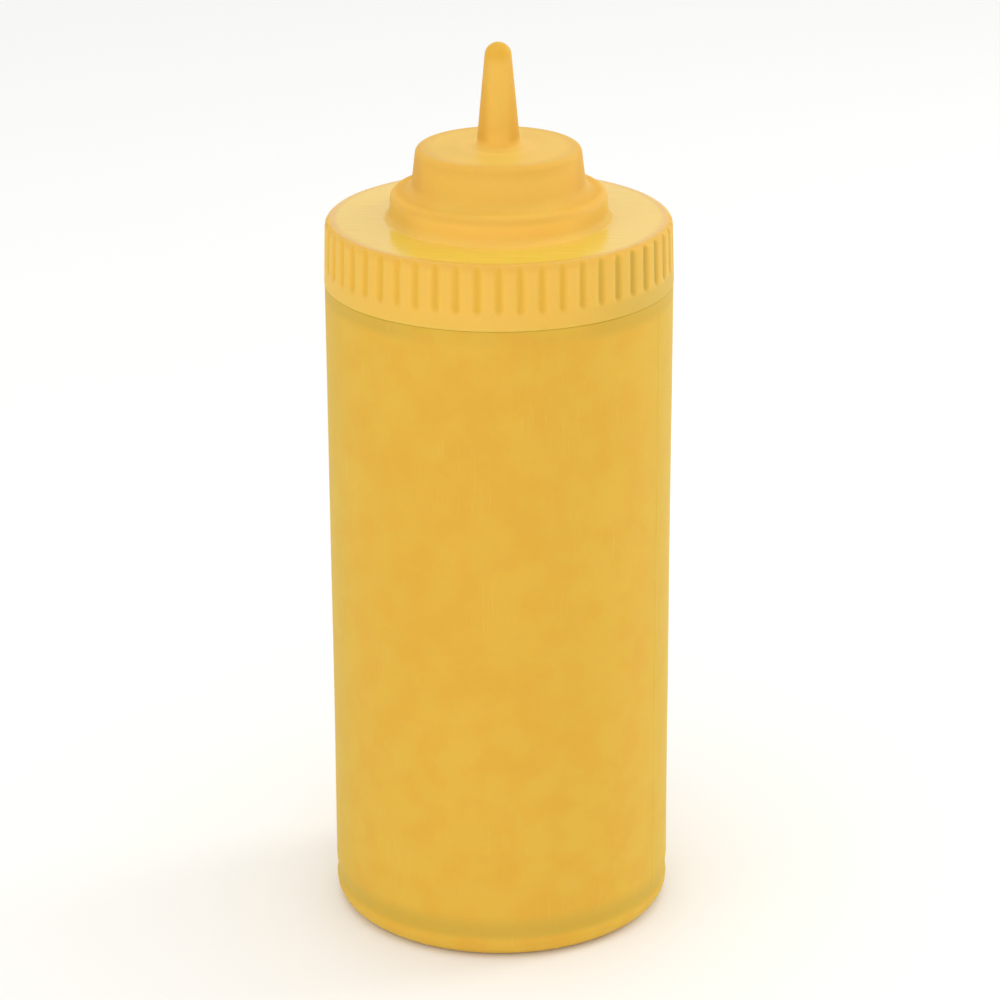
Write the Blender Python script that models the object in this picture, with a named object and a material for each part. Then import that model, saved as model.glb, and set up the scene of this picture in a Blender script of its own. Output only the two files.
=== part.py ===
# Squeeze bottle: a tall round bottle of soft yellow plastic with a screw lid.
# The lid is one moulding: grip skirt, flat deck, two round tiers and a long closed nozzle.
# Metres, +Z up. The origin is the centre of the base, at the level it stands on.

from math import cos, pi, radians, sin, sqrt

import bmesh
import bpy
from mathutils import Matrix, Vector

# Bottle
body_radius = 0.0440
base_corner = 0.0050
standing_ring_width = 0.0045
push_up = 0.0016
shoulder_height = 0.1697
shoulder_corner = 0.0012
neck_radius = 0.0412
neck_rim_corner = 0.0010

# Lid, from its lower edge up
touch_gap = 0.0003
lid_radius = 0.0442
lid_lip = 0.0004
skirt_height = 0.0163
skirt_corner = 0.0019
deck_thickness = 0.0018
middle_tier_radius = 0.0273
middle_tier_height = 0.0070
middle_tier_corner = 0.0014
upper_tier_foot_radius = 0.0217
upper_tier_top_radius = 0.0209
upper_tier_height = 0.0111
upper_tier_corner = 0.0020
nozzle_foot_radius = 0.0054
nozzle_fillet = 0.0013
nozzle_height = 0.0264
nozzle_tip_radius = 0.00335

# Grip flutes round the skirt: upright grooves that start above a plain lower band
flute_count = 52
flute_width = 0.0023
flute_depth = 0.0008
plain_band = 0.0038
flute_runout = 0.0012

# How finely the round forms are divided
body_steps = 72
lid_steps = 2 * flute_count
cutter_sides = 10
dome_steps = 4
arc_spacing = 0.0008

# Levels that follow from the sizes above
lid_bottom = shoulder_height + touch_gap
deck_level = lid_bottom + skirt_height
ceiling_level = deck_level - deck_thickness
neck_top = ceiling_level - touch_gap
middle_tier_level = deck_level + middle_tier_height
upper_tier_level = middle_tier_level + upper_tier_height
tip_level = upper_tier_level + nozzle_height
cone_angle = (nozzle_foot_radius - nozzle_tip_radius) / nozzle_height


def arc(centre, radius, start, end):
    """Points (distance from the axis, height) along an arc; angles in degrees from +X."""
    length = radius * abs(radians(end - start))
    steps = max(2, round(length / arc_spacing))
    points = []
    for step in range(steps + 1):
        angle = radians(start + (end - start) * step / steps)
        points.append((centre[0] + radius * cos(angle), centre[1] + radius * sin(angle)))
    return points


def outer_corner(radius, level, size):
    """A rounded rim where a flat top at this level turns down into a wall of this radius."""
    return arc((radius - size, level - size), size, 90, 0)


def bottle_profile():
    """Half section of the bottle, from the axis at the neck down to the axis at the base."""
    ring_outside = body_radius - base_corner
    ring_inside = ring_outside - standing_ring_width
    dome_radius = (ring_inside ** 2 + push_up ** 2) / (2 * push_up)
    points = [(0, neck_top)]
    points += outer_corner(neck_radius, neck_top, neck_rim_corner)
    points.append((neck_radius, shoulder_height))
    points += outer_corner(body_radius, shoulder_height, shoulder_corner)
    points += arc((ring_outside, base_corner), base_corner, 0, -90)
    for step in range(dome_steps + 1):
        reach = ring_inside * (1 - step / dome_steps)
        drop = dome_radius - sqrt(dome_radius ** 2 - reach ** 2)
        points.append((reach, push_up - drop))
    return points


def nozzle_profile():
    """The closed nozzle: a round tip, a slender cone and a small fillet at its foot."""
    cone_tilt = cone_angle * 180 / pi
    tip_centre = (0, tip_level - nozzle_tip_radius)
    fillet_centre = (nozzle_foot_radius + nozzle_fillet, upper_tier_level + nozzle_fillet)
    points = arc(tip_centre, nozzle_tip_radius, 90, cone_tilt)
    points += arc(fillet_centre, nozzle_fillet, 180 + cone_tilt, 270)
    return points


def lid_profile():
    """Half section of the lid, down its outer side, under the skirt and up to its ceiling."""
    inner_radius = neck_radius + touch_gap
    lip_centre = (lid_radius - lid_lip, lid_bottom + lid_lip)
    points = nozzle_profile()
    points += outer_corner(upper_tier_top_radius, upper_tier_level, upper_tier_corner)
    points.append((upper_tier_foot_radius, middle_tier_level))
    points += outer_corner(middle_tier_radius, middle_tier_level, middle_tier_corner)
    points.append((middle_tier_radius, deck_level))
    points += outer_corner(lid_radius, deck_level, skirt_corner)
    points += arc(lip_centre, lid_lip, 0, -90)
    points.append((inner_radius, lid_bottom))
    points.append((inner_radius, ceiling_level))
    points.append((0, ceiling_level))
    return points


def plastic(name, colour, roughness):
    """A plain coloured plastic."""
    material = bpy.data.materials.new(name)
    material.use_nodes = True
    shader = material.node_tree.nodes["Principled BSDF"]
    shader.inputs["Base Color"].default_value = (*colour, 1)
    shader.inputs["Roughness"].default_value = roughness
    shader.inputs["Metallic"].default_value = 0
    return material


def turned_piece(name, profile, steps, material):
    """A solid turned round the vertical axis from its half section."""
    mesh = bpy.data.meshes.new(name)
    vertices = [(distance, 0, height) for distance, height in profile]
    edges = [(number, number + 1) for number in range(len(profile) - 1)]
    mesh.from_pydata(vertices, edges, [])
    mesh.materials.append(material)
    piece = bpy.data.objects.new(name, mesh)
    bpy.context.collection.objects.link(piece)
    turn = piece.modifiers.new("turn", "SCREW")
    turn.axis = "Z"
    turn.angle = 2 * pi
    turn.steps = steps
    turn.render_steps = steps
    turn.use_merge_vertices = True
    turn.merge_threshold = 0.00005
    turn.use_smooth_shade = True
    return piece


def add_flute(mesh, angle):
    """One flute's cutter: a round bar standing in the skirt, tapered out at its lower end."""
    half_width = flute_width / 2
    bar_radius = (half_width ** 2 + flute_depth ** 2) / (2 * flute_depth)
    stand_off = lid_radius + bar_radius - flute_depth
    bar_bottom = lid_bottom + plain_band
    bar_top = deck_level + flute_runout
    middle = Vector((stand_off, 0, bar_bottom + flute_runout / 2))
    place = Matrix.Rotation(angle, 4, "Z") @ Matrix.Translation(middle)
    taper = bmesh.ops.create_cone(
        mesh,
        cap_ends=True,
        segments=cutter_sides,
        radius1=bar_radius - flute_depth,
        radius2=bar_radius,
        depth=flute_runout,
        matrix=place,
    )
    faces = {face for vertex in taper["verts"] for face in vertex.link_faces}
    top = max(faces, key=lambda face: face.calc_center_median().z)
    pulled = bmesh.ops.extrude_face_region(mesh, geom=[top])
    raised = [item for item in pulled["geom"] if isinstance(item, bmesh.types.BMVert)]
    lift = bar_top - bar_bottom - flute_runout
    bmesh.ops.translate(mesh, verts=raised, vec=(0, 0, lift))
    bmesh.ops.delete(mesh, geom=[top], context="FACES_ONLY")


def flute_cutter():
    """All the flutes' cutters in one hidden object."""
    cutter_mesh = bmesh.new()
    for number in range(flute_count):
        add_flute(cutter_mesh, 2 * pi * number / flute_count)
    bmesh.ops.recalc_face_normals(cutter_mesh, faces=cutter_mesh.faces)
    mesh = bpy.data.meshes.new("flute_cutter")
    cutter_mesh.to_mesh(mesh)
    cutter_mesh.free()
    cutter = bpy.data.objects.new("flute_cutter", mesh)
    bpy.context.collection.objects.link(cutter)
    cutter.hide_render = True
    cutter.display_type = "WIRE"
    return cutter


def bottle():
    """The bottle: straight wall, rounded base corner, and a neck that the lid covers."""
    colour = plastic("soft_yellow_plastic", (0.799, 0.462, 0.063), 0.42)
    return turned_piece("bottle", bottle_profile(), body_steps, colour)


def lid():
    """The screw lid, with flutes cut into its skirt for grip."""
    colour = plastic("gloss_yellow_plastic", (0.896, 0.515, 0.091), 0.28)
    piece = turned_piece("lid", lid_profile(), lid_steps, colour)
    cut = piece.modifiers.new("flutes", "BOOLEAN")
    cut.operation = "DIFFERENCE"
    cut.solver = "EXACT"
    cut.object = flute_cutter()
    return piece


for old in list(bpy.data.objects):
    bpy.data.objects.remove(old)
bottle()
lid()
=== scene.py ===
from math import atan2, cos, hypot, pi, radians, sin, sqrt

import bmesh
import bpy
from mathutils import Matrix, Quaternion, Vector


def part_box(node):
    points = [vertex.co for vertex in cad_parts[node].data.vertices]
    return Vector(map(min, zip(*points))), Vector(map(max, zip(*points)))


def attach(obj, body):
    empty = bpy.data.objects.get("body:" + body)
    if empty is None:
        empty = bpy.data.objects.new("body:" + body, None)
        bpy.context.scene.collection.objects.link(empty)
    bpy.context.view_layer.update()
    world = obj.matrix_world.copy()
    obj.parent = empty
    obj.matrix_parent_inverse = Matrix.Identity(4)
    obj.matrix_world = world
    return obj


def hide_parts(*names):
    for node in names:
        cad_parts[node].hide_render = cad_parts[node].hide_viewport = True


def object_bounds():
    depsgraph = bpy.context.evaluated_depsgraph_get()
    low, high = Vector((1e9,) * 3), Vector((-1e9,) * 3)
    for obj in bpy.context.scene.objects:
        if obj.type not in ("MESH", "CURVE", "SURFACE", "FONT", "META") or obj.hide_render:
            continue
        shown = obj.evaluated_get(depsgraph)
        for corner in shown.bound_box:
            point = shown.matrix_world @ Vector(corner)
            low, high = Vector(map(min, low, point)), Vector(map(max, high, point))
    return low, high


# A yellow squeeze bottle: a blown bottle and a moulded lid with its nozzle.
# Metres, +Z up; the bottle stands on z = 0 with its axis on the Z axis.

mm = 0.001
sameSpot = 0.001 * mm  # points nearer than this count as one
roughnessSpread = 0.05  # how far the fine grain moves a roughness up and down
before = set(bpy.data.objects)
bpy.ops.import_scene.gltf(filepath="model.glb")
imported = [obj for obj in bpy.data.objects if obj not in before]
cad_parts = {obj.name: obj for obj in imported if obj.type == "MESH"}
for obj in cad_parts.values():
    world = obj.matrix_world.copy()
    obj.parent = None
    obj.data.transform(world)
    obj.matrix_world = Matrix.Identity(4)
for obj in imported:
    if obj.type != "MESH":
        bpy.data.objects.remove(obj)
solidLow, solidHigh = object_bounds()
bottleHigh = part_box("bottle")[1]
lidLow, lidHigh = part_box("lid")
print("frame loaded:", ", ".join(sorted(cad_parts)))


def linearColour(hexText):
    # sRGB hex to the linear values that shaders take
    channels = [int(hexText[place:place + 2], 16) / 255 for place in (1, 3, 5)]
    curved = [c / 12.92 if c <= 0.04045 else ((c + 0.055) / 1.055) ** 2.4 for c in channels]
    return (*curved, 1)


def addNode(tree, kind, inputs, **settings):
    # inputs: socket name or number to a value, or to another node's output
    node = tree.nodes.new(kind)
    for name, value in settings.items():
        setattr(node, name, value)
    for name, value in inputs.items():
        if isinstance(value, bpy.types.NodeSocket):
            tree.links.new(value, node.inputs[name])
        else:
            node.inputs[name].default_value = value
    return node


def startMaterial(name):
    material = bpy.data.materials.new(name)
    material.use_nodes = True
    tree = material.node_tree
    place = addNode(tree, "ShaderNodeTexCoord", {}).outputs["Object"]
    return material, tree, tree.nodes["Principled BSDF"], place


def finishPlastic(tree, shader, look, colour, rough, skin):
    tree.links.new(colour, shader.inputs["Base Color"])
    tree.links.new(rough.outputs[0], shader.inputs["Roughness"])
    tree.links.new(skin.outputs[0], shader.inputs["Normal"])
    shader.inputs["IOR"].default_value = look["ior"]
    shader.inputs["Specular IOR Level"].default_value = look["gloss"]
    shader.inputs["Subsurface Weight"].default_value = look["sinkIn"]
    shader.inputs["Subsurface Radius"].default_value = look["subsurfaceSpread"]
    shader.inputs["Subsurface Scale"].default_value = look["sinkDepth"]


def easeInOut(value):
    value = min(max(value, 0), 1)
    return value * value * (3 - 2 * value)


# Turned shapes: a profile is a list of (out from the axis, up) points

def arcPoints(centre, radius, start, end, steps):
    points = []
    for step in range(steps + 1):
        angle = radians(start + (end - start) * step / steps)
        points.append((centre[0] + radius * cos(angle), centre[1] + radius * sin(angle)))
    return points


def rimArc(radius, level, corner, steps):
    # rounded rim between a flat top and the wall below it
    return arcPoints((radius - corner, level - corner), corner, 90, 0, steps)


def footArc(radius, level, fillet, steps):
    # hollow corner between a wall and the flat ledge at its foot
    return arcPoints((radius + fillet, level + fillet), fillet, 180, 270, steps)


def refineRuns(points, edgeGap, longest):
    # a row close to each end of a straight run keeps the shading of flats flat,
    # and rows along it leave room for soft unevenness
    refined = [points[0]]
    for (outA, upA), (outB, upB) in zip(points, points[1:]):
        run = hypot(outB - outA, upB - upA)
        places = []
        if run > 6 * edgeGap:
            inner = run - 2 * edgeGap
            rows = max(1, round(inner / longest))
            places = [edgeGap + inner * row / rows for row in range(rows + 1)]
        for along in places + [run]:
            part = along / run
            refined.append((outA + (outB - outA) * part, upA + (upB - upA) * part))
    return refined


def turnProfile(points, steps):
    shape = bmesh.new()
    corners = [shape.verts.new((out, 0, up)) for out, up in points]
    edges = [shape.edges.new(pair) for pair in zip(corners, corners[1:])]
    bmesh.ops.spin(
        shape, geom=corners + edges, cent=(0, 0, 0), axis=(0, 0, 1), angle=2 * pi, steps=steps, use_merge=True
    )
    bmesh.ops.remove_doubles(shape, verts=shape.verts, dist=sameSpot)
    bmesh.ops.recalc_face_normals(shape, faces=shape.faces)
    return shape


def finishPiece(name, shape, material, node):
    mesh = bpy.data.meshes.new(name)
    shape.to_mesh(mesh)
    shape.free()
    mesh.materials.append(material)
    mesh.shade_smooth()
    piece = bpy.data.objects.new(name, mesh)
    bpy.context.collection.objects.link(piece)
    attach(piece, "root")
    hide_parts(node)
    print(name, "made:", len(mesh.polygons), "faces")


# The bottle: low-density polyethylene, blown in a two-part mould

bottleShape = {
    "wallRadius": bottleHigh.x,
    "neckTop": bottleHigh.z,
    "neckRadius": 41.2 * mm,
    "neckRim": 1.0 * mm,
    "shoulderHeight": lidLow.z - 0.05 * mm,
    "shoulderCorner": 0.25 * mm,
    "baseCorner": 5.0 * mm,
    "standingRing": 4.5 * mm,
    "pushUp": 1.6 * mm,
    "domeRows": 16,
    "stepsRound": 256,
    "edgeGap": 0.2 * mm,
    "rowSpacing": 4 * mm,
    "heelTop": 11.5 * mm,  # a shallow hollow above the heel, where the mould's base plug meets its walls
    "heelMiddle": 7.0 * mm,
    "heelBottom": 5.0 * mm,
    "heelDepth": 0.35 * mm,
    "heelRows": 8,
    "footRows": 6,
    "unevenness": 0.07 * mm,  # how far the soft wall wanders in and out
    "seamStep": 18,  # the mould's parting line stands this many steps round from the +X side
    "seamWidth": 0.5 * mm,
    "seamHeight": 0.13 * mm,
    "seamFade": 4 * mm,
    "pinchHeight": 0.3 * mm,  # where the mould pinched the base shut
    "pinchLength": 52 * mm,
    "pinchFade": 3 * mm,
}


def bottleProfile(size):
    ringOutside = size["wallRadius"] - size["baseCorner"]
    ringInside = ringOutside - size["standingRing"]
    domeRadius = (ringInside ** 2 + size["pushUp"] ** 2) / (2 * size["pushUp"])
    points = [(0, size["neckTop"])]
    points += rimArc(size["neckRadius"], size["neckTop"], size["neckRim"], 4)
    points.append((size["neckRadius"], size["shoulderHeight"]))
    points += rimArc(size["wallRadius"], size["shoulderHeight"], size["shoulderCorner"], 6)
    for row in range(size["heelRows"] + 1):
        part = row / size["heelRows"]
        level = size["heelTop"] + (size["heelMiddle"] - size["heelTop"]) * part
        points.append((size["wallRadius"] - size["heelDepth"] * easeInOut(part), level))
    for row in range(1, size["footRows"]):
        part = row / size["footRows"]
        level = size["heelMiddle"] + (size["heelBottom"] - size["heelMiddle"]) * part
        points.append((size["wallRadius"] - size["heelDepth"] * easeInOut(1 - part), level))
    points += arcPoints((ringOutside, size["baseCorner"]), size["baseCorner"], 0, -90, 14)
    for row in range(size["domeRows"] + 1):
        reach = ringInside * (1 - row / size["domeRows"])
        drop = domeRadius - sqrt(domeRadius ** 2 - reach ** 2)
        points.append((reach, size["pushUp"] - drop))
    return points


def loosenWall(shape, size):
    # a blown wall is never quite round or straight: long, shallow waves that die out at both ends
    foot = size["heelTop"]
    top = size["shoulderHeight"] - size["shoulderCorner"]
    for vert in shape.verts:
        out = hypot(vert.co.x, vert.co.y)
        height = (vert.co.z - foot) / (top - foot)
        if not 0 < height < 1 or out < size["neckRadius"]:
            continue
        angle = atan2(vert.co.y, vert.co.x)
        wave = sin(2 * angle + 5 * height) + 0.6 * sin(3 * angle - 9 * height + 1.3)
        wave += 0.4 * sin(5 * angle + 14 * height + 0.4)
        shift = -size["unevenness"] * (1 + wave / 2) * easeInOut(5 * height) * easeInOut(5 * (1 - height))
        vert.co.x *= 1 + shift / out
        vert.co.y *= 1 + shift / out


def raiseSeam(shape, size):
    # the parting line runs up both sides and joins across the base, where it is thicker
    angle = -2 * pi * size["seamStep"] / size["stepsRound"]
    along = Vector((cos(angle), sin(angle), 0))
    across = Vector((-sin(angle), cos(angle), 0))
    for side in (-size["seamWidth"] / 2, size["seamWidth"] / 2):
        geometry = shape.verts[:] + shape.edges[:] + shape.faces[:]
        bmesh.ops.bisect_plane(shape, geom=geometry, dist=sameSpot, plane_co=across * side, plane_no=across)
    high = size["shoulderHeight"] - size["shoulderCorner"]
    for vert in shape.verts:
        if abs(vert.co.dot(across)) > 10 * sameSpot:
            continue
        out = vert.co.dot(along)
        if abs(out) < size["pinchLength"] / 2 and vert.co.z < 2 * size["pushUp"]:
            inside = size["pinchLength"] / 2 - abs(out)
            vert.co.z -= size["pinchHeight"] * easeInOut(inside / size["pinchFade"])
        elif abs(out) > size["neckRadius"] and vert.co.z < high:
            fade = easeInOut(vert.co.z / size["heelBottom"] - 1)
            fade *= easeInOut((high - vert.co.z) / size["seamFade"])
            vert.co += along * (size["seamHeight"] * fade * (1 if out > 0 else -1))


# Low-density polyethylene, blow moulded: soft satin skin, coloured right through, light sinks in a
# little; cloudy where the colour is unevenly mixed and paler low down, faint upright draw lines from
# the parison, a deeper band of painted shade in the hollow above the heel, painted shade below the
# lid, strongest at the sides, a painted olive shade down both sides, and fine pale scuffs from
# handling; grain and scuffs are drawn coarser than real ones, or they would not show
blownPlastic = {
    "colour": "#d6a93f",
    "paleColour": "#dab246",
    "warmFleckAndSideShadeColour": "#d7a43b",
    # painted shade in the hollow above the heel
    "heelShadeColour": "#cba742",
    # painted shade below the lid, strongest at the sides
    "shadeColour": "#cca541",
    # painted shade: an olive tone down both sides (±X)
    "oliveShadeColour": "#ceac3f",
    "scuffColour": "#debd5c",
    "roughness": 0.52,
    "gloss": 0.08,
    "ior": 1.51,
    "sinkIn": 0.6,
    "sinkDepth": 2.5 * mm,
    "subsurfaceSpread": (1, 0.6, 0.15),
    "cloud": 30 * mm,
    "fleck": 8 * mm,
    "fleckFrom": (0.4, 0.62),  # noise values between which the warm flecks fade in, as for the scuffs
    "fleckShare": 0.6,
    "drawLine": 1.6 * mm,
    "drawLineLength": 90 * mm,
    "drawLineHeight": 0.02 * mm,
    "grain": 0.7 * mm,
    "grainHeight": 0.006 * mm,
    "scuffWidth": 0.3 * mm,
    "scuffLength": 10 * mm,
    "scuffTurn": (0.5, 0.35, 0),
    "scuffDepth": 0.02 * mm,
    "scuffRoughness": 0.3,
    "scuffFrom": (0.62, 0.74),
    "scuffedArea": 22 * mm,
    "scuffedFrom": (0.5, 0.64),
    "scuffShare": 0.5,
    # the band is painted shade in the hollow above the heel
    "bandFrom": (5.0 * mm, 7.0 * mm),  # the deeper band fades in over the first, out over the second
    "bandTo": (8.6 * mm, 13.0 * mm),
    "paleFrom": (95 * mm, 35 * mm),
    "paleShare": 0.4,
    # painted shade below the lid:
    "shadeFrom": (5.0 * mm, 2.5 * mm),  # below the lid
    "shadeSides": (14 * mm, 30 * mm),  # out from the middle, as for the olive cast
    "shadeInMiddle": 0.2,
    # painted olive shade down both sides:
    "oliveSides": (36 * mm, 42 * mm),
    "oliveShare": 0.5,
}


def makeBlownPlastic(look):
    material, tree, shader, place = startMaterial("blownPolyethylene")
    cloud = addNode(tree, "ShaderNodeTexNoise", {"Vector": place, "Scale": 1 / look["cloud"], "Detail": 3})
    fleck = addNode(tree, "ShaderNodeTexNoise", {"Vector": place, "Scale": 1 / look["fleck"], "Detail": 3})
    grain = addNode(tree, "ShaderNodeTexNoise", {"Vector": place, "Scale": 1 / look["grain"], "Detail": 2})
    drawn = addNode(
        tree,
        "ShaderNodeMapping",
        {"Vector": place, "Scale": (1 / look["drawLine"], 1 / look["drawLine"], 1 / look["drawLineLength"])},
    )
    lines = addNode(tree, "ShaderNodeTexNoise", {"Vector": drawn.outputs[0], "Scale": 1, "Detail": 2})
    rubbed = addNode(
        tree,
        "ShaderNodeMapping",
        {
            "Vector": place,
            "Rotation": look["scuffTurn"],
            "Scale": (1 / look["scuffWidth"], 1 / look["scuffWidth"], 1 / look["scuffLength"]),
        },
    )
    streaks = addNode(tree, "ShaderNodeTexNoise", {"Vector": rubbed.outputs[0], "Scale": 1, "Detail": 1})
    area = addNode(
        tree, "ShaderNodeTexNoise", {"Vector": place, "Scale": 1 / look["scuffedArea"], "Detail": 1}
    )
    shares = {"cloud": cloud.outputs["Fac"]}
    for name, noise, fade, most in (
        ("streaks", streaks, look["scuffFrom"], 1),
        ("area", area, look["scuffedFrom"], look["scuffShare"]),
        ("flecks", fleck, look["fleckFrom"], look["fleckShare"]),
    ):
        share = addNode(
            tree,
            "ShaderNodeMapRange",
            {"Value": noise.outputs["Fac"], "From Min": fade[0], "From Max": fade[1], "To Max": most},
        )
        shares[name] = share.outputs[0]
    scuffs = addNode(tree, "ShaderNodeMath", {0: shares["streaks"], 1: shares["area"]}, operation="MULTIPLY")

    parts = addNode(tree, "ShaderNodeSeparateXYZ", {"Vector": place})
    height = parts.outputs["Z"]
    sideways = addNode(tree, "ShaderNodeMath", {0: parts.outputs["X"]}, operation="ABSOLUTE")
    belowLid = addNode(tree, "ShaderNodeMath", {0: lidLow.z, 1: height}, operation="SUBTRACT")
    # painted shade: shadeSides and shade darken the bottle below the lid, most at the sides; olive darkens
    # both sides; bandStart and band darken the hollow above the heel
    for name, source, fade, low, high in (
        ("shadeSides", sideways.outputs[0], look["shadeSides"], look["shadeInMiddle"], 1),
        ("shade", belowLid.outputs[0], look["shadeFrom"], 0, "shadeSides"),
        ("olive", sideways.outputs[0], look["oliveSides"], 0, look["oliveShare"]),
        ("pale", height, look["paleFrom"], 0, look["paleShare"]),
        ("bandStart", height, look["bandFrom"], 0, 1),
        ("band", height, look["bandTo"], "bandStart", 0),
    ):
        share = addNode(
            tree,
            "ShaderNodeMapRange",
            {
                "Value": source,
                "From Min": fade[0],
                "From Max": fade[1],
                "To Min": shares.get(low, low),
                "To Max": shares.get(high, high),
            },
            interpolation_type="SMOOTHSTEP",
        )
        shares[name] = share.outputs[0]

    colour = linearColour(look["colour"])
    for share, name in (
        (shares["cloud"], "paleColour"),
        (shares["pale"], "paleColour"),
        (shares["flecks"], "warmFleckAndSideShadeColour"),
        (shares["olive"], "oliveShadeColour"),
        (shares["band"], "heelShadeColour"),
        (shares["shade"], "shadeColour"),
        (scuffs.outputs[0], "scuffColour"),
    ):
        mixed = addNode(
            tree, "ShaderNodeMix", {0: share, 6: colour, 7: linearColour(look[name])}, data_type="RGBA"
        )
        colour = mixed.outputs[2]

    skinRough = addNode(
        tree,
        "ShaderNodeMapRange",
        {
            "Value": grain.outputs["Fac"],
            "To Min": look["roughness"] - roughnessSpread,
            "To Max": look["roughness"] + roughnessSpread,
        },
    )
    rough = addNode(
        tree,
        "ShaderNodeMath",
        {0: scuffs.outputs[0], 1: look["scuffRoughness"], 2: skinRough.outputs[0]},
        operation="MULTIPLY_ADD",
    )
    lineBump = addNode(
        tree, "ShaderNodeBump", {"Height": lines.outputs["Fac"], "Distance": look["drawLineHeight"]}
    )
    scuffBump = addNode(
        tree,
        "ShaderNodeBump",
        {"Height": scuffs.outputs[0], "Distance": look["scuffDepth"], "Normal": lineBump.outputs[0]},
        invert=True,
    )
    skin = addNode(
        tree,
        "ShaderNodeBump",
        {"Height": grain.outputs["Fac"], "Distance": look["grainHeight"], "Normal": scuffBump.outputs[0]},
    )
    finishPlastic(tree, shader, look, colour, rough, skin)
    return material


bottlePoints = refineRuns(bottleProfile(bottleShape), bottleShape["edgeGap"], bottleShape["rowSpacing"])
bottleMesh = turnProfile(bottlePoints, bottleShape["stepsRound"])
loosenWall(bottleMesh, bottleShape)
raiseSeam(bottleMesh, bottleShape)
finishPiece("blownBottle", bottleMesh, makeBlownPlastic(blownPlastic), "bottle")


# The lid: one injection moulding, from the grip skirt up to the closed nozzle

lidShape = {
    "bottom": lidLow.z,
    "tip": lidHigh.z,
    "radius": 44.1 * mm,  # at the lower edge; the skirt draws in a little towards the deck
    "deckRadius": 43.7 * mm,
    "innerRadius": 41.5 * mm,
    "ceilingDrop": 1.8 * mm,
    "lip": 0.12 * mm,
    "edgeGap": 0.15 * mm,
    "rowSpacing": 3 * mm,
    "insideSpacing": 12 * mm,
    "skirtHeight": 16.3 * mm,
    "skirtCorner": 1.9 * mm,
    "middleRadius": 27.3 * mm,
    "middleHeight": 7.0 * mm,
    "middleCorner": 2.0 * mm,
    "upperFootRadius": 21.7 * mm,
    "upperTopRadius": 20.9 * mm,
    "upperHeight": 11.1 * mm,
    "upperCorner": 1.7 * mm,
    "upperFillet": 2.7 * mm,
    "middleFillet": 2.0 * mm,
    "nozzleFootRadius": 5.4 * mm,
    "nozzleTipRadius": 3.35 * mm,
    "nozzleFillet": 1.3 * mm,
    "deckPolish": 1,  # the mould is polished where it forms the deck, less so for the top,
    "topPolish": 0.2,
    "ledgePolish": -0.4,  # and left rougher than the walls for the ledge
    "polishReach": 0.5 * mm,  # up or down from each of these flats
    "polishFrom": (0.9, 0.98),  # upward share of the surface's direction
}

fluteShape = {
    "count": 52,
    "stepsEach": 10,
    "width": 2.3 * mm,
    "depth": 0.8 * mm,
    "plainBand": 3.8 * mm,
    "runout": 1.2 * mm,
    "edgeSoftness": 0.1 * mm,
    "rowSpacing": 0.6 * mm,
}


def lidLevels(size):
    # the three flats, from the bottom up
    deck = size["bottom"] + size["skirtHeight"]
    ledge = deck + size["middleHeight"]
    return deck, ledge, ledge + size["upperHeight"]


def nozzleProfile(size, foot):
    height = size["tip"] - foot
    lean = (size["nozzleFootRadius"] - size["nozzleTipRadius"]) / height * 180 / pi
    tipCentre = (0, size["tip"] - size["nozzleTipRadius"])
    filletCentre = (size["nozzleFootRadius"] + size["nozzleFillet"], foot + size["nozzleFillet"])
    points = arcPoints(tipCentre, size["nozzleTipRadius"], 90, lean, 12)
    points += arcPoints(filletCentre, size["nozzleFillet"], 180 + lean, 270, 7)
    return points


def lidProfiles(size):
    # the stepped top and nozzle, then the skirt with its inside, as two stretches of one profile
    deck, ledge, top = lidLevels(size)
    over = nozzleProfile(size, top)
    over += rimArc(size["upperTopRadius"], top, size["upperCorner"], 8)
    over += footArc(size["upperFootRadius"], ledge, size["upperFillet"], 6)
    over += rimArc(size["middleRadius"], ledge, size["middleCorner"], 6)
    over += footArc(size["middleRadius"], deck, size["middleFillet"], 7)
    over += rimArc(size["deckRadius"], deck, size["skirtCorner"], 10)
    lipCentre = (size["radius"] - size["lip"], size["bottom"] + size["lip"])
    under = arcPoints(lipCentre, size["lip"], 0, -90, 4)
    under.append((size["innerRadius"], size["bottom"]))
    under.append((size["innerRadius"], deck - size["ceilingDrop"]))
    under.append((0, deck - size["ceilingDrop"]))
    return over, under


def cutFlutes(shape, size, flute):
    # each flute is the groove that a round upright bar would leave, tapered out above the plain band
    pitch = 2 * pi / flute["count"]
    halfWidth = flute["width"] / 2
    bar = (halfWidth ** 2 + flute["depth"] ** 2) / (2 * flute["depth"])
    start = size["bottom"] + flute["plainBand"]
    soft = flute["edgeSoftness"]
    layer = shape.verts.layers.float.new("groove")
    for vert in shape.verts:
        rise = (vert.co.z - size["bottom"]) / size["skirtHeight"]
        wall = size["radius"] + (size["deckRadius"] - size["radius"]) * rise
        out = hypot(vert.co.x, vert.co.y)
        if vert.co.z < start or out < wall - size["skirtCorner"]:
            continue
        angle = atan2(vert.co.y, vert.co.x)
        across = ((angle / pitch + 0.5) % 1 - 0.5) * pitch * wall
        reach = bar - flute["depth"] * (1 - easeInOut((vert.co.z - start) / flute["runout"]))
        if abs(across) >= reach:
            continue
        barCentre = wall + bar - flute["depth"]
        overlap = out - (barCentre - sqrt(reach ** 2 - across ** 2))
        cut = (overlap + sqrt(overlap ** 2 + soft ** 2)) / 2
        if overlap > -4 * soft:
            vert.co.x *= 1 - cut / out
            vert.co.y *= 1 - cut / out
            vert[layer] = min(cut / flute["depth"], 1)


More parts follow.
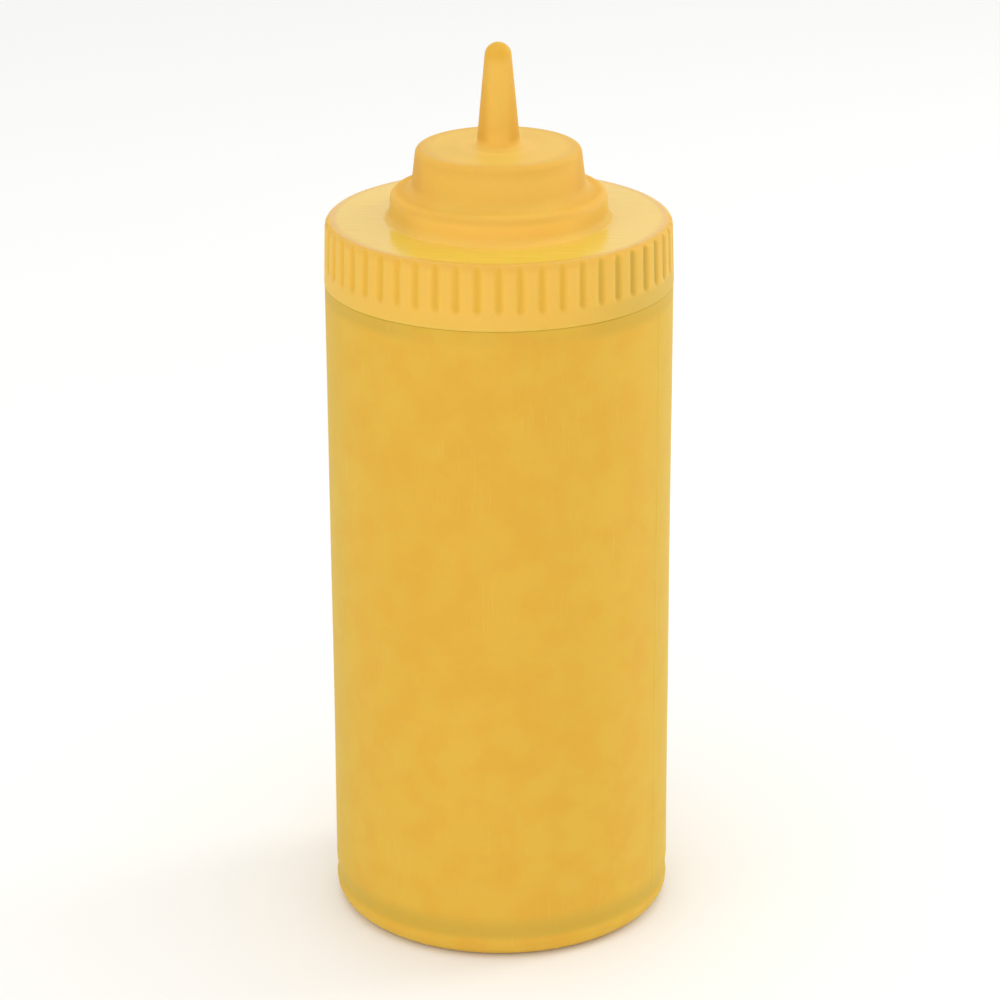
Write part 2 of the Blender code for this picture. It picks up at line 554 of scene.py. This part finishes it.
def markPolish(shape, size):
    # only the flats are marked, and it fades where they curve away
    # the mark makes the flats smoother, and paints the deck and top paler as painted reflection
    shines = (size["deckPolish"], size["ledgePolish"], size["topPolish"])
    none, full = size["polishFrom"]
    layer = shape.verts.layers.float.new("polish")
    shape.normal_update()
    for vert in shape.verts:
        flat = easeInOut((vert.normal.z - none) / (full - none))
        for level, shine in zip(lidLevels(size), shines):
            if abs(vert.co.z - level) < size["polishReach"]:
                vert[layer] = flat * shine


# Polyethylene, injection moulded: a touch lighter than the bottle, matt walls and a polished deck,
# a deep tip, faint flow rings round the nozzle, fine scratches across the deck; grain, rings and
# scratches are drawn coarser than real ones, or they would not show. Painted into the colour: a paler
# deck and top as painted reflection, painted light on the middle tier's wall and round the nozzle's
# foot at front and back, and painted shade round the rims, on both sides of the upper tier, down the
# outlines of the nozzle and the upper wall, in every flute, and on the right (+X) side of the skirt,
# deepest in its flutes there
mouldedPlastic = {
    "colour": "#e0b34a",
    "paleColour": "#e3b852",
    # painted reflection: paler on the polished flats
    "deckReflectionColour": "#e4c04a",
    # painted light on the middle tier's wall and round the nozzle's foot
    "paintedLightColour": "#ecc15a",
    # painted shade round the deck, ledge and top rims
    "rimShadeColour": "#dbad48",
    # painted shade, deeper and more orange, on both sides of the upper tier
    "warmFleckAndSideShadeColour": "#e1ae45",
    # painted shade down the outlines of the nozzle and the upper wall
    "edgeShadeColour": "#d8a43a",
    "tipColour": "#d9a938",
    # painted shade in the flutes, by their depth
    "grooveShadeColour": "#e0b13a",
    # painted shade on the right (+X) side of the skirt
    "rightShadeColour": "#d0ab49",
    # painted shade, deepest in the flutes on the right (+X) side
    "rightGrooveShadeColour": "#c8a546",
    "roughness": 0.6,
    "polishedRoughness": 0.2,
    "scratchRoughness": 0.15,
    "gloss": 0.25,
    "ior": 1.51,
    "sinkIn": 0.7,
    "sinkDepth": 1.8 * mm,
    "subsurfaceSpread": (1, 0.6, 0.15),
    "cloud": 16 * mm,
    "grain": 0.9 * mm,
    "grainHeight": 0.003 * mm,
    "flowRing": 1.4 * mm,
    "ringHeight": 0.006 * mm,
    "scratchWidth": 0.12 * mm,
    "scratchLength": 14 * mm,
    "scratchTurn": 0.6,
    "scratchFrom": (0.64, 0.74),  # noise values between which they fade in
    "handledFlutes": 0.35,  # share of the right side's painted shade above its plain band
    "rings": (
        # out from the axis, up from the lower edge, full this near, gone this far
        # painted light, full at front and back:
        (27.9 * mm, 18.7 * mm, 1.8 * mm, 5.2 * mm, "paintedLightColour"),
        (7.6 * mm, 36.4 * mm, 0.6 * mm, 4.6 * mm, "paintedLightColour"),
        # painted shade round the rims:
        (42.5 * mm, 15.9 * mm, 0.8 * mm, 2.4 * mm, "rimShadeColour"),
        (26.6 * mm, 22.3 * mm, 0.2 * mm, 1.6 * mm, "rimShadeColour"),
        (20.0 * mm, 34.0 * mm, 0.8 * mm, 4.2 * mm, "rimShadeColour"),
    ),
}


def lidZones(size):
    # each is none at its first place and full at its second; sideways is the same to left and right
    deck, ledge, top = lidLevels(size)
    return (
        # front and back, where the painted light on the middle wall and nozzle foot is full
        ("middle", "sideways", 25 * mm, 17 * mm),
        # the sides of the upper tier, for painted shade there
        ("sides", "sideways", 12 * mm, 20 * mm),
        # the outlines of the nozzle and of the upper wall, for painted shade down them
        ("nozzleOutline", "sideways", 1.5 * mm, 4.3 * mm),
        ("wallOutline", "sideways", 18.2 * mm, 20.6 * mm),
        # the right (+X) side, for painted shade on the skirt and in its flutes
        ("handled", "side", 14 * mm, 36 * mm),
        ("overLedge", "height", ledge - 1.5 * mm, ledge - 0.3 * mm),
        ("upperWall", "height", ledge + 0.8 * mm, ledge + 2.8 * mm),
        ("underTop", "height", top - 1 * mm, top - 3 * mm),
        ("nozzle", "height", top + 1 * mm, top + 3 * mm),
        ("tip", "height", size["tip"] - 5.5 * mm, size["tip"] - 2 * mm),
        ("underDeck", "height", deck - 0.7 * mm, deck - 1.9 * mm),
        ("plainBand", "height", size["bottom"] + 6 * mm, size["bottom"] + 3 * mm),
    )


def makeMouldedPlastic(look, size):
    material, tree, shader, place = startMaterial("mouldedPolyethylene")
    cloud = addNode(tree, "ShaderNodeTexNoise", {"Vector": place, "Scale": 1 / look["cloud"], "Detail": 3})
    grain = addNode(tree, "ShaderNodeTexNoise", {"Vector": place, "Scale": 1 / look["grain"], "Detail": 2})
    shine = addNode(tree, "ShaderNodeAttribute", {}, attribute_name="polish").outputs["Fac"]
    groove = addNode(tree, "ShaderNodeAttribute", {}, attribute_name="groove").outputs["Fac"]
    flat = addNode(tree, "ShaderNodeVectorMath", {0: place, 1: (1, 1, 0)}, operation="MULTIPLY")
    outward = addNode(tree, "ShaderNodeVectorMath", {0: flat.outputs[0]}, operation="LENGTH").outputs["Value"]
    ringPlace = addNode(tree, "ShaderNodeMath", {0: outward, 1: 1 / look["flowRing"]}, operation="MULTIPLY")
    rings = addNode(
        tree,
        "ShaderNodeTexNoise",
        {"W": ringPlace.outputs[0], "Scale": 1, "Detail": 2},
        noise_dimensions="1D",
    )
    drawn = addNode(
        tree,
        "ShaderNodeMapping",
        {
            "Vector": place,
            "Rotation": (0, 0, look["scratchTurn"]),
            "Scale": (1 / look["scratchLength"], 1 / look["scratchWidth"], 1 / look["scratchLength"]),
        },
    )
    streaks = addNode(tree, "ShaderNodeTexNoise", {"Vector": drawn.outputs[0], "Scale": 1, "Detail": 1})
    none, full = look["scratchFrom"]
    scratches = addNode(
        tree, "ShaderNodeMapRange", {"Value": streaks.outputs["Fac"], "From Min": none, "From Max": full}
    )

    parts = addNode(tree, "ShaderNodeSeparateXYZ", {"Vector": place})
    sideways = addNode(tree, "ShaderNodeMath", {0: parts.outputs["X"]}, operation="ABSOLUTE")
    sources = {"side": parts.outputs["X"], "height": parts.outputs["Z"], "sideways": sideways.outputs[0]}
    shares = {"cloud": cloud.outputs["Fac"], "shine": shine, "groove": groove}
    for name, source, none, full in lidZones(size):
        share = addNode(
            tree,
            "ShaderNodeMapRange",
            {"Value": sources[source], "From Min": none, "From Max": full},
            interpolation_type="SMOOTHSTEP",
        )
        shares[name] = share.outputs[0]
    # the skirt's share of the right side's painted shade: full on the plain band, less above
    flutes = addNode(
        tree, "ShaderNodeMath", {0: shares["underDeck"], 1: look["handledFlutes"]}, operation="MULTIPLY"
    )
    skirt = addNode(
        tree, "ShaderNodeMath", {0: shares["plainBand"], 1: flutes.outputs[0]}, operation="MAXIMUM"
    )
    shares["skirt"] = skirt.outputs[0]
    # these products carry painted shade: the sides of the upper tier, the outlines of the nozzle and upper
    # wall, the right side of the skirt and the flutes there
    for name, first, second in (
        ("upper", "overLedge", "underTop"),
        ("warmSides", "upper", "sides"),
        ("nozzleSides", "nozzle", "nozzleOutline"),
        ("wallSides", "upperWall", "wallOutline"),
        ("shadedSkirt", "skirt", "handled"),
        ("rightGrooveShade", "handled", "groove"),
    ):
        share = addNode(tree, "ShaderNodeMath", {0: shares[first], 1: shares[second]}, operation="MULTIPLY")
        shares[name] = share.outputs[0]

    # the flats' paler colour is painted reflection; the rings below add painted light and painted shade
    layers = [(shares["cloud"], "paleColour"), (shares["shine"], "deckReflectionColour")]
    section = addNode(tree, "ShaderNodeCombineXYZ", {"X": outward, "Z": parts.outputs["Z"]})
    for out, up, full, gone, name in look["rings"]:
        near = addNode(
            tree,
            "ShaderNodeVectorMath",
            {0: section.outputs[0], 1: (out, 0, size["bottom"] + up)},
            operation="DISTANCE",
        )
        # the painted light is full at front and back only
        strength = shares["middle"] if name == "paintedLightColour" else 1
        ring = addNode(
            tree,
            "ShaderNodeMapRange",
            {"Value": near.outputs["Value"], "From Min": gone, "From Max": full, "To Max": strength},
            interpolation_type="SMOOTHSTEP",
        )
        layers.append((ring.outputs[0], name))
    # painted shade: the sides of the upper tier, the outlines of the nozzle and upper wall, the right side of
    # the skirt, and the flutes
    layers += [
        (shares["warmSides"], "warmFleckAndSideShadeColour"),
        (shares["nozzleSides"], "edgeShadeColour"),
        (shares["wallSides"], "edgeShadeColour"),
        (shares["shadedSkirt"], "rightShadeColour"),
        (shares["groove"], "grooveShadeColour"),
        (shares["rightGrooveShade"], "rightGrooveShadeColour"),
        (shares["tip"], "tipColour"),
    ]
    colour = linearColour(look["colour"])
    for share, name in layers:
        mixed = addNode(
            tree, "ShaderNodeMix", {0: share, 6: colour, 7: linearColour(look[name])}, data_type="RGBA"
        )
        colour = mixed.outputs[2]

    satin = addNode(
        tree,
        "ShaderNodeMapRange",
        {
            "Value": grain.outputs["Fac"],
            "To Min": look["roughness"] - roughnessSpread,
            "To Max": look["roughness"] + roughnessSpread,
        },
    )
    polished = addNode(
        tree,
        "ShaderNodeMapRange",
        {
            "Value": scratches.outputs[0],
            "To Min": look["polishedRoughness"],
            "To Max": look["polishedRoughness"] + look["scratchRoughness"],
        },
    )
    rough = addNode(
        tree,
        "ShaderNodeMapRange",
        {"Value": shine, "To Min": satin.outputs[0], "To Max": polished.outputs[0]},
        clamp=False,
    )
    ringBump = addNode(
        tree, "ShaderNodeBump", {"Height": rings.outputs["Fac"], "Distance": look["ringHeight"]}
    )
    skin = addNode(
        tree,
        "ShaderNodeBump",
        {"Height": grain.outputs["Fac"], "Distance": look["grainHeight"], "Normal": ringBump.outputs[0]},
    )
    finishPlastic(tree, shader, look, colour, rough, skin)
    return material


overPoints, underPoints = lidProfiles(lidShape)
lidPoints = refineRuns(overPoints, lidShape["edgeGap"], lidShape["rowSpacing"])
lidPoints += refineRuns([overPoints[-1], underPoints[0]], lidShape["edgeGap"], fluteShape["rowSpacing"])[1:]
lidPoints += refineRuns(underPoints, lidShape["edgeGap"], lidShape["insideSpacing"])[1:]
lidMesh = turnProfile(lidPoints, fluteShape["count"] * fluteShape["stepsEach"])
cutFlutes(lidMesh, lidShape, fluteShape)
markPolish(lidMesh, lidShape)
finishPiece("screwLid", lidMesh, makeMouldedPlastic(mouldedPlastic, lidShape), "lid")


# Floor, light and camera

# matt coated paper, as a studio roll: near white, with hardly any sheen
floorLook = {"halfSize": 4.0, "colour": "#f8f8f6", "roughness": 0.6, "gloss": 0.2, "fibre": 2.5 * mm}


def makeFloor(look):
    material, tree, shader, place = startMaterial("mattPaper")
    fibre = addNode(tree, "ShaderNodeTexNoise", {"Vector": place, "Scale": 1 / look["fibre"], "Detail": 2})
    rough = addNode(
        tree,
        "ShaderNodeMapRange",
        {
            "Value": fibre.outputs["Fac"],
            "To Min": look["roughness"] - roughnessSpread,
            "To Max": look["roughness"] + roughnessSpread,
        },
    )
    tree.links.new(rough.outputs[0], shader.inputs["Roughness"])
    shader.inputs["Base Color"].default_value = linearColour(look["colour"])
    shader.inputs["Specular IOR Level"].default_value = look["gloss"]
    shape = bmesh.new()
    bmesh.ops.create_grid(shape, x_segments=1, y_segments=1, size=look["halfSize"])
    mesh = bpy.data.meshes.new("floor")
    shape.to_mesh(mesh)
    shape.free()
    mesh.materials.append(material)
    floor = bpy.data.objects.new("floor", mesh)
    bpy.context.collection.objects.link(floor)


# an even pale room, a little brighter low down behind the bottle; angles in degrees
surroundLook = {"strength": 0.87, "backLift": 0.2, "glowHeight": 22, "glowFull": 12, "glowEnd": 38}


def makeSurround(look):
    world = bpy.data.worlds.new("paleStudio")
    world.use_nodes = True
    tree = world.node_tree
    rise = radians(look["glowHeight"])
    outlook = addNode(tree, "ShaderNodeTexCoord", {}).outputs["Generated"]
    facing = addNode(
        tree, "ShaderNodeVectorMath", {0: outlook, 1: (0, cos(rise), sin(rise))}, operation="DOT_PRODUCT"
    )
    glow = addNode(
        tree,
        "ShaderNodeMapRange",
        {
            "Value": facing.outputs["Value"],
            "From Min": cos(radians(look["glowEnd"])),
            "From Max": cos(radians(look["glowFull"])),
            "To Min": look["strength"],
            "To Max": look["strength"] + look["backLift"],
        },
        interpolation_type="SMOOTHSTEP",
    )
    background = tree.nodes["Background"]
    background.inputs["Color"].default_value = (1, 1, 1, 1)
    tree.links.new(glow.outputs[0], background.inputs["Strength"])
    bpy.context.scene.world = world


softboxes = (
    # degrees round from the front to the right, degrees up, metres away, width, height, watts
    ("frontSoftbox", 0, 12, 1.2, 0.7, 0.7, 2.4),
    ("leftSoftbox", -45, 28, 1.2, 1.0, 1.0, 1.45),
    ("rightSoftbox", 112, 24, 1.2, 0.4, 0.9, 3.2),
    ("topSoftbox", 0, 88, 1.3, 1.2, 1.2, 2.5),
)


def addSoftbox(name, azimuth, elevation, distance, width, height, power):
    target = Vector((0, 0, (solidLow.z + solidHigh.z) / 2))
    side, rise = radians(azimuth), radians(elevation)
    away = Vector((sin(side) * cos(rise), -cos(side) * cos(rise), sin(rise)))
    lamp = bpy.data.lights.new(name, "AREA")
    lamp.shape = "RECTANGLE"
    lamp.size = width
    lamp.size_y = height
    lamp.energy = power
    holder = bpy.data.objects.new(name, lamp)
    holder.location = target + away * distance
    holder.rotation_mode = "QUATERNION"
    holder.rotation_quaternion = away.to_track_quat("Z", "Y")
    bpy.context.collection.objects.link(holder)


cameraPlace = {
    "focalPixels": 3600,
    "imageWidth": 1000,  # pixels, for that focal length
    "sensorWidth": 36,  # millimetres
    "distance": 0.930,
    "elevation": 20.7,  # degrees, as for the roll
    "aimHeight": 0.1101,
    "roll": -0.25,
}


def makeCamera(place):
    rise = radians(place["elevation"])
    away = Vector((0, -cos(rise), sin(rise)))
    lens = bpy.data.cameras.new("camera")
    lens.sensor_width = place["sensorWidth"]
    lens.lens = place["focalPixels"] * place["sensorWidth"] / place["imageWidth"]
    lens.clip_start = 0.01
    lens.clip_end = 50
    camera = bpy.data.objects.new("camera", lens)
    camera.location = Vector((0, 0, place["aimHeight"])) + away * place["distance"]
    camera.rotation_mode = "QUATERNION"
    camera.rotation_quaternion = away.to_track_quat("Z", "Y") @ Quaternion((0, 0, 1), radians(place["roll"]))
    bpy.context.collection.objects.link(camera)
    bpy.context.scene.camera = camera


makeFloor(floorLook)
makeSurround(surroundLook)
for softbox in softboxes:
    addSoftbox(*softbox)
makeCamera(cameraPlace)
bpy.context.scene.view_settings.view_transform = "Standard"
print("floor, lights and camera placed")
